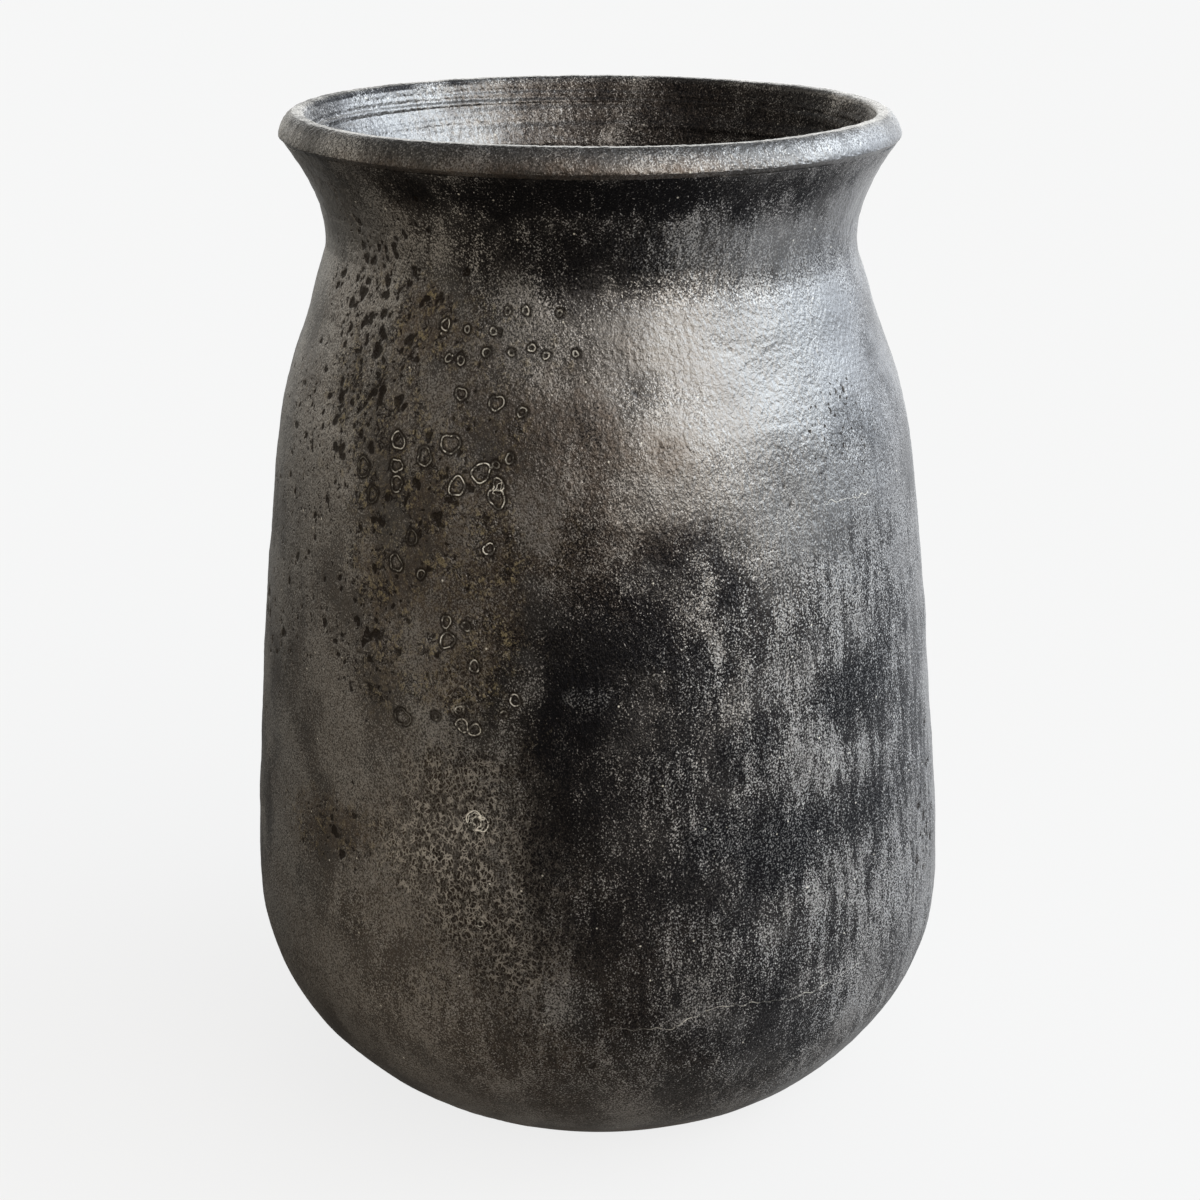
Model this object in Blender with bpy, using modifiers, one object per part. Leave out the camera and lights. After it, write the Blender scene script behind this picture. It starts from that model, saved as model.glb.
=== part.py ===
"""A barro negro storage jar, as the rings of black clay that a potter lutes together.

The jar is built from the foot up: a slab for the base, a heel bowl, four wall courses, a
flared neck collar and a rolled rim. Each course is a turned ring whose lower edge is scarfed
over the course below it, and a hair of slip is left between the two. Metres, +Z up, with the
origin under the middle of the jar, on the surface that it stands on.
"""

import math

import bpy

# Driving dimensions of the whole jar
HEIGHT = 0.500              # surface to the crest of the rim
BELLY_RADIUS = 0.1816       # widest part of the body
BELLY_HEIGHT = 0.0994       # height of that widest part
HEEL_HALF_HEIGHT = 0.1316   # the heel is an ellipse as wide as the belly, cut off by the foot
LEAN = -0.009               # sideways drift of the handmade axis, per metre of height

# Stations of the outer line above the belly: (height, radius)
MID_BODY = (0.2044, 0.1746)
UPPER_BODY = (0.2939, 0.1658)
SHOULDER = (0.3639, 0.1548)
NECK_ROOT = (0.4105, 0.1388)
NECK_WAIST = (0.4416, 0.1309)
MOUTH_EDGE = (0.4883, 0.1502)
MOUTH_FLARE = 0.75          # radius gained per height at the mouth edge

# Walls: thicker at the foot than at the mouth
FOOT_WALL = 0.0130
MOUTH_WALL = 0.0115

# Rolled rim
RIM_RADIUS = 0.1512         # outermost edge of the roll
RIM_UNDERSIDE = 0.4866      # where the roll overhangs the neck
RIM_CREST_RADIUS = 0.1440
RIM_INNER_RADIUS = 0.1384
RIM_INNER_HEIGHT = 0.4982
RIM_EDGE_ROUND = 0.0014     # how far the outer edge rounds under

# Heights of the luted seams, as (on the outer face, on the inner face)
FOOT_SEAM = (0.0090, 0.0035)
BELLY_SEAM = (0.0975, 0.1045)
LOWER_SEAM = (0.1760, 0.1830)
MIDDLE_SEAM = (0.2560, 0.2630)
UPPER_SEAM = (0.3360, 0.3430)
NECK_SEAM = (0.4330, 0.4390)
RIM_SEAM = (RIM_UNDERSIDE, 0.4800)
SLIP_GAP = 0.0004           # height of the slip left in a seam

TURN_STEPS = 60
EDGE_BEVEL = 0.0005
SMOOTH_ANGLE = math.radians(35)


def body_slopes():
    """Stations above the belly, with the slope of the outer line at each of them."""
    belly = (BELLY_HEIGHT, BELLY_RADIUS)
    stations = [belly, MID_BODY, UPPER_BODY, SHOULDER, NECK_ROOT, NECK_WAIST, MOUTH_EDGE]
    slopes = [0.0]
    for (z0, r0), (z1, r1), (z2, r2) in zip(stations, stations[1:], stations[2:]):
        below, above = z1 - z0, z2 - z1
        slopes.append(((r1 - r0) / below * above + (r2 - r1) / above * below) / (below + above))
    slopes.append(MOUTH_FLARE)
    return stations, slopes


STATIONS, SLOPES = body_slopes()


def outer_radius(z):
    """Radius of the jar's outer line: an ellipse below the belly, a smooth curve above it."""
    if z < BELLY_HEIGHT:
        return BELLY_RADIUS * math.sqrt(1 - ((BELLY_HEIGHT - z) / HEEL_HALF_HEIGHT) ** 2)
    i = 0
    while i < len(STATIONS) - 2 and z > STATIONS[i + 1][0]:
        i += 1
    (z0, r0), (z1, r1) = STATIONS[i], STATIONS[i + 1]
    step = z1 - z0
    t = (z - z0) / step
    return (
        (2 * t**3 - 3 * t**2 + 1) * r0
        + (t**3 - 2 * t**2 + t) * step * SLOPES[i]
        + (3 * t**2 - 2 * t**3) * r1
        + (t**3 - t**2) * step * SLOPES[i + 1]
    )


def outer_point(z):
    return outer_radius(z), z


def inner_point(z):
    """Point of the inner line, square across the wall from the outer line's height z."""
    delta = 0.0005
    slope = (outer_radius(z + delta) - outer_radius(z - delta)) / (2 * delta)
    wall = FOOT_WALL + (MOUTH_WALL - FOOT_WALL) * z / HEIGHT
    length = math.hypot(1.0, slope)
    return outer_radius(z) - wall / length, z + wall * slope / length


def spaced(start, end, count):
    return [start + (end - start) * i / (count - 1) for i in range(count)]


def course_outline(lower, upper, count):
    """Closed outline of a wall course: down its outer face, then up its inner face."""
    outside = [outer_point(z) for z in spaced(upper[0], lower[0] + SLIP_GAP, count)]
    inside = [inner_point(z) for z in spaced(lower[1] + SLIP_GAP, upper[1], count)]
    return outside + inside


def base_outline():
    """Open outline of the base slab, from the middle of its floor to the middle below."""
    floor_radius, floor_height = inner_point(FOOT_SEAM[1])
    edge = [outer_point(z) for z in spaced(FOOT_SEAM[0], 0.0, 4)]
    return [(0.0, floor_height), (floor_radius, floor_height), *edge, (0.0, 0.0)]


def rim_outline():
    """Closed outline of the rolled rim: over the roll, under its lip, and up the inside."""
    reach = RIM_RADIUS - RIM_CREST_RADIUS
    shoulder = RIM_UNDERSIDE + RIM_EDGE_ROUND
    rise = HEIGHT - shoulder
    roll = []
    for i in range(6):
        angle = math.radians(90 * (1 - i / 5))
        roll.append((RIM_CREST_RADIUS + reach * math.cos(angle), shoulder + rise * math.sin(angle)))
    under = (RIM_RADIUS - RIM_EDGE_ROUND, RIM_UNDERSIDE + SLIP_GAP)
    seat = (outer_radius(RIM_UNDERSIDE) - RIM_EDGE_ROUND, RIM_UNDERSIDE + SLIP_GAP)
    throat_radius, throat_height = inner_point(RIM_SEAM[1])
    throat = (throat_radius, throat_height + SLIP_GAP)
    lip = [(RIM_INNER_RADIUS, RIM_INNER_HEIGHT), (0.5 * (RIM_INNER_RADIUS + RIM_CREST_RADIUS), HEIGHT)]
    return [*roll, under, seat, throat, *lip]


def neck_outline():
    """Closed outline of the neck collar, whose flared top tucks in under the rim."""
    outside = [outer_point(z) for z in spaced(RIM_UNDERSIDE, NECK_SEAM[0] + SLIP_GAP, 8)]
    outside[0] = (outside[0][0] - RIM_EDGE_ROUND, outside[0][1])
    inside = [inner_point(z) for z in spaced(NECK_SEAM[1] + SLIP_GAP, RIM_SEAM[1], 7)]
    return outside + inside


def clay(name, colour, roughness, metallic):
    material = bpy.data.materials.new(name)
    material.use_nodes = True
    shader = material.node_tree.nodes["Principled BSDF"]
    shader.inputs["Base Color"].default_value = (*colour, 1.0)
    shader.inputs["Roughness"].default_value = roughness
    shader.inputs["Metallic"].default_value = metallic
    material.diffuse_color = (*colour, 1.0)
    return material


def turned(name, outline, closed, collection, material):
    """Turn an outline about the jar's axis, ease its edges, and lean it with the jar."""
    mesh = bpy.data.meshes.new(name + "_outline")
    edges = [(i, i + 1) for i in range(len(outline) - 1)]
    if closed:
        edges.append((len(outline) - 1, 0))
    mesh.from_pydata([(radius, 0.0, z) for radius, z in outline], edges, [])
    piece = bpy.data.objects.new(name, mesh)
    collection.objects.link(piece)

    screw = piece.modifiers.new("turn", "SCREW")
    screw.axis = "Z"
    screw.steps = TURN_STEPS
    screw.render_steps = TURN_STEPS
    screw.use_merge_vertices = True
    screw.merge_threshold = 0.00005
    bevel = piece.modifiers.new("ease_edges", "BEVEL")
    bevel.width = EDGE_BEVEL
    bevel.segments = 1
    bevel.angle_limit = SMOOTH_ANGLE
    bevel.limit_method = "ANGLE"

    graph = bpy.context.evaluated_depsgraph_get()
    solid = bpy.data.meshes.new_from_object(piece.evaluated_get(graph))
    solid.name = name
    for vertex in solid.vertices:
        vertex.co.x += LEAN * (vertex.co.z - BELLY_HEIGHT)
    piece.modifiers.clear()
    piece.data = solid
    bpy.data.meshes.remove(mesh)
    solid.shade_smooth()
    solid.set_sharp_from_angle(angle=SMOOTH_ANGLE)
    solid.materials.clear()
    solid.materials.append(material)
    return piece


def main():
    for old in list(bpy.data.objects):
        bpy.data.objects.remove(old)
    jar = bpy.data.collections.new("black_clay_jar")
    bpy.context.scene.collection.children.link(jar)

    courses = [
        ("heel_bowl", FOOT_SEAM, BELLY_SEAM, 8, (0.030, 0.027, 0.024), 0.56),
        ("lower_wall_course", BELLY_SEAM, LOWER_SEAM, 4, (0.027, 0.025, 0.024), 0.54),
        ("middle_wall_course", LOWER_SEAM, MIDDLE_SEAM, 4, (0.029, 0.027, 0.026), 0.50),
        ("upper_wall_course", MIDDLE_SEAM, UPPER_SEAM, 4, (0.034, 0.031, 0.029), 0.47),
        ("shoulder_course", UPPER_SEAM, NECK_SEAM, 6, (0.040, 0.037, 0.035), 0.42),
    ]
    base_clay = clay("base_slab_clay", (0.033, 0.027, 0.022), 0.70, 0.10)
    turned("base_slab", base_outline(), False, jar, base_clay)
    for name, lower, upper, count, colour, roughness in courses:
        finish = clay(name + "_clay", colour, roughness, 0.25)
        turned(name, course_outline(lower, upper, count), True, jar, finish)
    neck_clay = clay("neck_collar_clay", (0.028, 0.026, 0.025), 0.46, 0.25)
    turned("neck_collar", neck_outline(), True, jar, neck_clay)
    rim_clay = clay("rim_roll_clay", (0.036, 0.034, 0.034), 0.36, 0.30)
    turned("rim_roll", rim_outline(), True, jar, rim_clay)


main()
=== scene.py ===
"""Looks for the barro negro storage jar: smoke-fired black clay, burnished, pitted and worn.

The jar is built as the CAD builds it, from a base slab, a heel bowl, four wall courses, a neck
collar and a rolled rim. Each piece here is a finely meshed ring on the CAD's own outline. Its
surface is pushed in and out by one relief that runs over the whole jar: throwing lines, the
leathery skin of the burnished slip, kiln pits and blisters. The same grid carries the marks that
the material paints: burnish with painted highlights, soot with painted shade, chalk with painted
light, painted shade in the pits, brown ash, blister rings, craquelure, and hairline cracks
painted as pale highlight lines.

Places on the jar are azimuths in degrees, 0 at the front and growing to the right, and heights in
metres. Everything else is in metres.
"""

import math

import bpy
import numpy as np
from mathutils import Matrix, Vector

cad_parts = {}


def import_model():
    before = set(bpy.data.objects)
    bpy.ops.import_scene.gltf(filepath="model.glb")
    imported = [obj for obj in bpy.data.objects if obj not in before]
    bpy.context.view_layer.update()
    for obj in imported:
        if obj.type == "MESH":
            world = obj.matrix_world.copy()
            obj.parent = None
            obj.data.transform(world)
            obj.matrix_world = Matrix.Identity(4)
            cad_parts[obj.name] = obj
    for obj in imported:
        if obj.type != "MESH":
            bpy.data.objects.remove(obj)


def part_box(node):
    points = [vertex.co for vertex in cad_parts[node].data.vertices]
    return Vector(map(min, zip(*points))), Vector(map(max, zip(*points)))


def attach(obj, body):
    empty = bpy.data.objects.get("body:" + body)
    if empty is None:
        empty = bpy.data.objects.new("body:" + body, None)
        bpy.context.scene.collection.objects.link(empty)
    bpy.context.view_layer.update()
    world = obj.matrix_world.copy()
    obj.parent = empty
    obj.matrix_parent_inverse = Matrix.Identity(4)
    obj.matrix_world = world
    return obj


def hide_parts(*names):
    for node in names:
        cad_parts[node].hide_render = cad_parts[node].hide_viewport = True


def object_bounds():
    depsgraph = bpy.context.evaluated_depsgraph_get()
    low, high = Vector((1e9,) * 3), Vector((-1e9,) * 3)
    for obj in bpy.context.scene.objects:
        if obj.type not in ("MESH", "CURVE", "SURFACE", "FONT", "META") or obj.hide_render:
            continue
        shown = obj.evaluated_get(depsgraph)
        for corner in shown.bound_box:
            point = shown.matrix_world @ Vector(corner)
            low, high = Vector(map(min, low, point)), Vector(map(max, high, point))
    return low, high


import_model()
cad_low, cad_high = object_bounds()

# The jar's outline, as in the CAD: an ellipse up to the belly, then a smooth curve to the mouth
HEIGHT = cad_high.z
BELLY_RADIUS = 0.1816
BELLY_HEIGHT = 0.0994
HEEL_HALF_HEIGHT = 0.1316
LEAN = -0.009
STATIONS = np.array([
    (BELLY_HEIGHT, BELLY_RADIUS),
    (0.2044, 0.1746),
    (0.2939, 0.1658),
    (0.3639, 0.1548),
    (0.4105, 0.1388),
    (0.4416, 0.1309),
    (0.4883, 0.1502),
])
MOUTH_FLARE = 0.75
FOOT_WALL = 0.0130
MOUTH_WALL = 0.0115
FOOT_SEAM = (0.0090, 0.0035)    # height of the foot's joint on the outer face, and on the inner
SCARF_RISE = 0.0070             # how much higher each other joint is on the inner face
RIM_THROAT = 0.4800             # outer height at which the inner faces of neck and rim meet
RIM_RADIUS = 0.1512
RIM_CREST_RADIUS = 0.1440
RIM_INNER_RADIUS = 0.1384
RIM_EDGE_RISE = 0.0028          # height of the roll's outermost edge above its underside
RIM_EDGE_ROUND = 0.0007
RIM_BULGE = 1.35                # shape of the roll: 1 is a quarter ellipse, 2 a flat slope
RIM_TUCK = 0.0004               # how far the roll's fold goes in behind the neck's outer line
LIP_ROUND = 0.0026              # rounding of the inner edge

# Meshes, and the grid that holds the relief and the marks
COLUMNS = 1024                  # of both, all round: one every 0.35 degrees
OUTER_ROW = 0.00125             # height between rows of vertices on the outer faces
SLAB_ROW = 0.0012               # the same on the base slab's edge
GRID_ROWS = 512
AVERAGE_RADIUS = 0.165          # turns wavelengths around the jar into angles
SEED = 5

azimuths = np.arange(COLUMNS) * 2 * math.pi / COLUMNS
grid_azimuth, grid_height = np.meshgrid(np.degrees(azimuths), np.linspace(0, HEIGHT, GRID_ROWS))
row_step = HEIGHT / (GRID_ROWS - 1)
rng = np.random.default_rng(SEED)


# ---------------------------------------------------------------- outline

def station_slopes():
    """Slope of the outer line at each station: level at the belly, flared at the mouth."""
    rise = np.diff(STATIONS[:, 0])
    slope = np.diff(STATIONS[:, 1]) / rise
    inner = (slope[:-1] * rise[1:] + slope[1:] * rise[:-1]) / (rise[:-1] + rise[1:])
    return np.concatenate([[0.0], inner, [MOUTH_FLARE]])


SLOPES = station_slopes()


def outer_radius(z):
    heel = BELLY_RADIUS * np.sqrt(np.clip(1 - ((BELLY_HEIGHT - z) / HEEL_HALF_HEIGHT) ** 2, 0, 1))
    i = np.clip(np.searchsorted(STATIONS[:, 0], z, side="right") - 1, 0, len(STATIONS) - 2)
    step = STATIONS[i + 1, 0] - STATIONS[i, 0]
    t = (z - STATIONS[i, 0]) / step
    body = (
        (2 * t**3 - 3 * t**2 + 1) * STATIONS[i, 1]
        + (t**3 - 2 * t**2 + t) * step * SLOPES[i]
        + (3 * t**2 - 2 * t**3) * STATIONS[i + 1, 1]
        + (t**3 - t**2) * step * SLOPES[i + 1]
    )
    return np.where(z < BELLY_HEIGHT, heel, body)


def outer_line(z):
    """Points (radius, height) of the outer line, with its unit normals."""
    reach = 0.0005
    slope = (outer_radius(z + reach) - outer_radius(z - reach)) / (2 * reach)
    normal = np.stack([np.ones_like(z), -slope], -1) / np.hypot(1, slope)[:, None]
    return np.stack([outer_radius(z), z], -1), normal


def inner_line(z):
    """Points of the inner line, square across the wall from the outer heights z."""
    point, normal = outer_line(z)
    wall = FOOT_WALL + (MOUTH_WALL - FOOT_WALL) * z / HEIGHT
    return point - wall[:, None] * normal, -normal


# ---------------------------------------------------------------- fields over the whole jar

def smooth(low, high, value):
    """0 up to low, 1 from high on, and an even S between them. Low may be the larger one."""
    t = np.clip((value - low) / (high - low), 0, 1)
    return t * t * (3 - 2 * t)


def grain(across, up):
    """Seamless random field of unit spread, with waves of these lengths around and up the jar."""
    around = np.fft.rfftfreq(COLUMNS, 2 * math.pi * AVERAGE_RADIUS / COLUMNS) * across
    along = np.fft.fftfreq(GRID_ROWS, row_step)[:, None] * up
    band = np.exp(-(((np.hypot(around, along) - 1) / 0.5) ** 2))
    noise = rng.standard_normal((GRID_ROWS, COLUMNS))
    field = np.fft.irfft2(np.fft.rfft2(noise) * band, s=noise.shape)
    return field / field.std()


def away(azimuth):
    """Signed degrees around the jar from an azimuth to each point of the grid."""
    return (grid_azimuth - azimuth + 180) % 360 - 180


def at_heights(field, z):
    """Rows of a grid field at the given heights."""
    place = np.clip(z / row_step, 0, GRID_ROWS - 1.001)
    i = place.astype(int)
    t = (place - i)[:, None]
    return field[i] * (1 - t) + field[i + 1] * t


blotch = 0.7 * grain(0.05, 0.05) + 0.3 * grain(0.016, 0.016)
RAGGED = 0.28                   # how far the blotches move a patch's edge, as part of its size


def patch(azimuth, height, half_wide, half_tall, strength=1.0, soft=0.45, slant=0.0):
    """A ragged, soft-edged oval: its strength in the middle and 0 outside.

    The half sizes are degrees and metres, and the slant is metres up for each degree across.
    """
    across = away(azimuth)
    far = np.hypot(across / half_wide, (grid_height - height - slant * across) / half_tall)
    return strength * (1 - smooth(1 - soft, 1 + soft, far + RAGGED * blotch))


def patches(rows):
    """The strongest of several patches at each point."""
    return np.maximum.reduce([patch(*row) for row in rows])


def window(azimuth, height, reach):
    """Index of the grid points around a place, with their distances in metres and bearings."""
    row = int(round(height / row_step))
    column = int(round(azimuth / 360 * COLUMNS))
    radius = float(outer_radius(np.float64(height)))
    column_step = 2 * math.pi * radius / COLUMNS
    tall, wide = math.ceil(reach / row_step), math.ceil(reach / column_step)
    rows = np.clip(np.arange(row - tall, row + tall + 1), 0, GRID_ROWS - 1)
    columns = np.arange(column - wide, column + wide + 1)
    dz = (rows * row_step - height)[:, None]
    dx = ((columns / COLUMNS * 360 - azimuth) * math.pi / 180 * radius)[None, :]
    return np.ix_(rows, columns % COLUMNS), np.hypot(dz, dx), np.arctan2(dz, dx)


def uneven(angle, amount):
    """Factor that makes a round outline slightly lopsided and cornered."""
    phases = rng.uniform(0, 2 * math.pi, 3)
    return 1 + amount * sum(np.cos(k * angle + phase) / k for k, phase in zip((2, 3, 5), phases))


# Blisters with a raised, pale outline: azimuth, height, radius, paleness (0 is a dark one)
BLISTERS = [
    (-24.4, 0.3680, 0.0043, 1.0), (-29.1, 0.3610, 0.0038, 0.8), (-18.5, 0.3570, 0.0042, 1.0),
    (-22.6, 0.3500, 0.0040, 1.0), (-15.6, 0.3465, 0.0040, 1.0), (-15.4, 0.3525, 0.0026, 0.9),
    (-16.7, 0.3235, 0.0026, 1.0), (-34.1, 0.3470, 0.0033, 0.7), (-34.8, 0.3660, 0.0036, 0.8),
    (-34.5, 0.3550, 0.0030, 0.8), (-41.9, 0.3510, 0.0040, 0.2), (-39.2, 0.3400, 0.0035, 0.1),
    (-23.5, 0.3895, 0.0026, 0.6), (-16.7, 0.3870, 0.0032, 0.6), (-12.0, 0.3840, 0.0020, 0.6),
    (-13.7, 0.3640, 0.0020, 0.5), (-28.6, 0.4180, 0.0023, 0.9), (-30.5, 0.3240, 0.0030, 0.2),
    (-33.4, 0.3110, 0.0036, 0.5), (-28.5, 0.3080, 0.0020, 0.5), (-23.7, 0.2880, 0.0025, 0.6),
    (-20.3, 0.2870, 0.0020, 0.6), (-23.4, 0.2795, 0.0036, 0.9), (-18.8, 0.2690, 0.0025, 0.8),
    (-12.2, 0.2550, 0.0025, 0.8), (-14.0, 0.2480, 0.0016, 0.6), (-21.2, 0.2475, 0.0020, 0.5),
    (-20.7, 0.2405, 0.0030, 0.9), (-18.6, 0.2390, 0.0028, 0.9), (-25.2, 0.2430, 0.0020, 0.4),
    (-31.2, 0.2390, 0.0040, 0.2), (-18.2, 0.1950, 0.0050, 1.0), (-18.2, 0.1950, 0.0022, 1.0),
    (-25.0, 0.1750, 0.0020, 0.1), (-17.5, 0.1450, 0.0015, 0.6), (-16.0, 0.4260, 0.0014, 0.7),
    (-12.4, 0.4265, 0.0016, 0.8), (-5.9, 0.4260, 0.0013, 0.6), (-18.5, 0.4170, 0.0015, 0.6),
    (-10.9, 0.4110, 0.0016, 0.8), (-19.5, 0.4080, 0.0018, 0.6), (-14.7, 0.4085, 0.0014, 0.5),
    (-8.2, 0.4080, 0.0015, 0.8), (-24.5, 0.4035, 0.0019, 0.6), (-27.0, 0.4040, 0.0017, 0.5),
    (-2.8, 0.4090, 0.0013, 0.6), (-23.8, 0.4170, 0.0014, 0.4), (-16.0, 0.3610, 0.0016, 0.3),
]
BACK_BLISTERS = 60
BLISTER_LIP = 0.00030           # height of the raised outline
BLISTER_LIP_WIDTH = 0.0008
BLISTER_DISH = 0.00028          # depth of the sunken middle
RING_REACH = 0.006              # how far from an outline its distance is kept

# Larger kiln pits: azimuth, height, radius
DEEP_PITS = [
    (-44.2, 0.4020, 0.0036), (-40.5, 0.3850, 0.0032), (-42.5, 0.3840, 0.0026), (-47.8, 0.4470, 0.0022),
    (-42.5, 0.4450, 0.0020), (-50.0, 0.4400, 0.0026), (-53.0, 0.4570, 0.0024), (-54.0, 0.4530, 0.0020),
    (-39.2, 0.4550, 0.0020), (-36.7, 0.2756, 0.0030), (-39.5, 0.2700, 0.0026), (-41.2, 0.2790, 0.0026),
    (-38.0, 0.2630, 0.0020), (-34.0, 0.4280, 0.0020),
]
# Where small kiln pits crowd: azimuth, height, half width, half height, density
PITTED = [
    (-47, 0.410, 14, 0.050, 1.0), (-52, 0.350, 16, 0.045, 0.55), (-41, 0.275, 8, 0.032, 0.9),
    (-62, 0.300, 12, 0.060, 0.35), (-30, 0.360, 14, 0.040, 0.5), (-65, 0.255, 12, 0.015, 0.6),
    (68, 0.146, 5, 0.022, 0.7), (-48, 0.172, 9, 0.018, 0.5),
    (150, 0.330, 26, 0.060, 0.6), (205, 0.230, 22, 0.070, 0.4),
]
SCUFF = (51, 0.366, 9, 0.020, 0.6)      # rubbed patch with painted pores only
PIT_TRIES = 22000               # places tried for small pits, kept as the crowding allows
STRAY_PITS = 0.002              # share kept where nothing crowds
SMALLEST_PIT = 0.0006
LARGEST_PIT = 0.0026
PIT_SPREAD = 0.00050            # mean growth of a small pit's radius over the smallest
PIT_FLOOR = 0.0003              # a full pit is this deep, and
PIT_STEEPNESS = 0.28            # this part of its radius deeper
PIT_LIP = 0.00006               # height of the rim thrown up round a pit


def back_blisters():
    """The same bubbles round the back, where the smoke lay thickest."""
    return [
        (rng.normal(165, 24), rng.normal(0.33, 0.05), rng.uniform(0.0015, 0.004), rng.uniform(0, 1))
        for _ in range(BACK_BLISTERS)
    ]


def blister_fields():
    """Relief of the blisters, signed distance to the nearest blister's outline, and its paleness."""
    relief = np.zeros(grid_height.shape)
    distance = np.full(grid_height.shape, RING_REACH)
    pale = np.zeros(grid_height.shape)
    for azimuth, height, radius, tone in BLISTERS + back_blisters():
        height = min(max(height, 0.05), 0.47)       # off the foot and the mouth
        where, far, angle = window(azimuth, height, radius + RING_REACH)
        offset = far - radius * uneven(angle, 0.24)
        lip = np.exp(-((offset / BLISTER_LIP_WIDTH) ** 2))
        dish = (far < radius) * (1 - (far / radius) ** 4)
        relief[where] += BLISTER_LIP * lip - BLISTER_DISH * dish
        nearer = np.abs(offset) < np.abs(distance[where])
        distance[where] = np.where(nearer, offset, distance[where])
        pale[where] = np.where(nearer, tone, pale[where])
    return relief, distance, pale


def scattered_pits():
    """Small pits at random places, kept more often where they crowd."""
    density = patches([row + (0.7,) for row in PITTED])
    pits = []
    for _ in range(PIT_TRIES):
        azimuth, height = rng.uniform(0, 360), rng.uniform(0.02, 0.475)
        radius = SMALLEST_PIT + rng.exponential(PIT_SPREAD)
        chance = density[int(height / row_step), int(azimuth / 360 * COLUMNS)]
        if rng.uniform() < chance + STRAY_PITS:
            pits.append((azimuth, height, min(radius, LARGEST_PIT), rng.uniform(0.35, 0.9)))
    return pits


def pit_fields():
    """Relief of the kiln pits, a few deep and many small where they crowd, and painted shade in them."""
    relief = np.zeros(grid_height.shape)
    pits = [(azimuth, height, 0.8 * radius, 0.9) for azimuth, height, radius in DEEP_PITS]
    for azimuth, height, radius, depth in pits + scattered_pits():
        where, far, angle = window(azimuth, height, 2.4 * radius + 0.001)
        far = far / uneven(angle, 0.45) / radius
        hollow = -np.exp(-(far**3)) * depth * (PIT_FLOOR + PIT_STEEPNESS * radius)
        lip = np.exp(-(((far - 1.35) / 0.35) ** 2))
        relief[where] = np.minimum(relief[where], hollow) + PIT_LIP * lip * depth
    # the deeper a pit, the darker the painted shade in it
    return relief, smooth(0.00008, 0.00050, -relief)


def throwing_lines():
    """Fine level ridges of the turning clay, strongest on the neck."""
    lines = grain(0.6, 0.006) * (0.3 + 0.7 * smooth(0.42, 0.45, grid_height))
    drag = grain(0.08, 0.0045) * patch(45, 0.362, 22, 0.020, 1.0, 0.45, 0.0006)
    return 0.00007 * lines + 0.00005 * drag


def neck_and_lip():
    """The crease at the neck's root and the faint step where the lip was drawn out."""
    wander = 0.0014 * grain(0.10, 0.5)
    crease = -0.0004 * np.exp(-(((grid_height - 0.4336 - wander) / 0.0060) ** 2))
    step = 0.00035 * smooth(0.4735, 0.4690, grid_height + wander) * smooth(0.440, 0.468, grid_height)
    return crease + step * (0.4 + 0.6 * patch(-20, 0.465, 40, 0.03))


leather_mask = np.clip(0.5 + patches([
    (25, 0.385, 62, 0.060, 1.0), (15, 0.300, 30, 0.060, 0.7), (-25, 0.400, 40, 0.04, 0.7),
    (120, 0.38, 50, 0.06, 0.8), (220, 0.38, 60, 0.06, 0.8),
]), 0, 1)

# Olive and brown crust where ash settled and bubbled in the kiln
crust = patches([
    (-34, 0.415, 11, 0.024, 1.0), (-26, 0.335, 17, 0.050, 0.9), (-24, 0.270, 14, 0.035, 0.9),
    (-40, 0.375, 13, 0.040, 0.8), (-47, 0.172, 10, 0.018, 0.6), (-20, 0.410, 16, 0.020, 0.5),
    (165, 0.33, 34, 0.080, 0.9),
])
crust = crust * (0.35 + 0.65 * smooth(-0.6, 0.9, grain(0.018, 0.018)))
crust_pores = smooth(0.5, 2.0, 0.8 * grain(0.0075, 0.0085) + 0.7 * grain(0.0042, 0.005))
crust_pores = crust_pores * smooth(0.20, 0.9, crust + 0.25 * blotch)

blister_relief, ring_distance, ring_pale = blister_fields()
# Painted shade in the pits and in the crust's pores
pit_relief, pit_shade = pit_fields()
pit_shade = np.maximum(pit_shade, 0.75 * crust_pores)
outer_relief = (
    0.00022 * grain(0.16, 0.20)                             # the hand-formed wall
    + 0.00013 * grain(0.045, 0.035)                         # dents of fingers and paddle
    + 0.000045 * grain(0.0046, 0.0046) * leather_mask       # leathery burnished skin
    + 0.00003 * grain(0.0095, 0.012)
    + throwing_lines()
    + neck_and_lip()
    + blister_relief
    + pit_relief
    - 0.00035 * crust_pores
) * smooth(0.0005, 0.008, grid_height)
inner_relief = (
    0.00040 * grain(0.15, 0.10)
    + 0.00062 * grain(1.2, 0.0070)                          # level ridges of the turning clay
    + 0.00008 * grain(0.03, 0.004)
    + 0.00036 * grain(0.30, 0.0045)
    + 0.00009 * grain(0.006, 0.004)
    + 0.00024 * grain(0.6, 0.0034)
)
rim_relief = 0.00014 * grain(0.16, 5.0) + 0.00005 * grain(0.025, 5.0)   # the same at all heights
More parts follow.
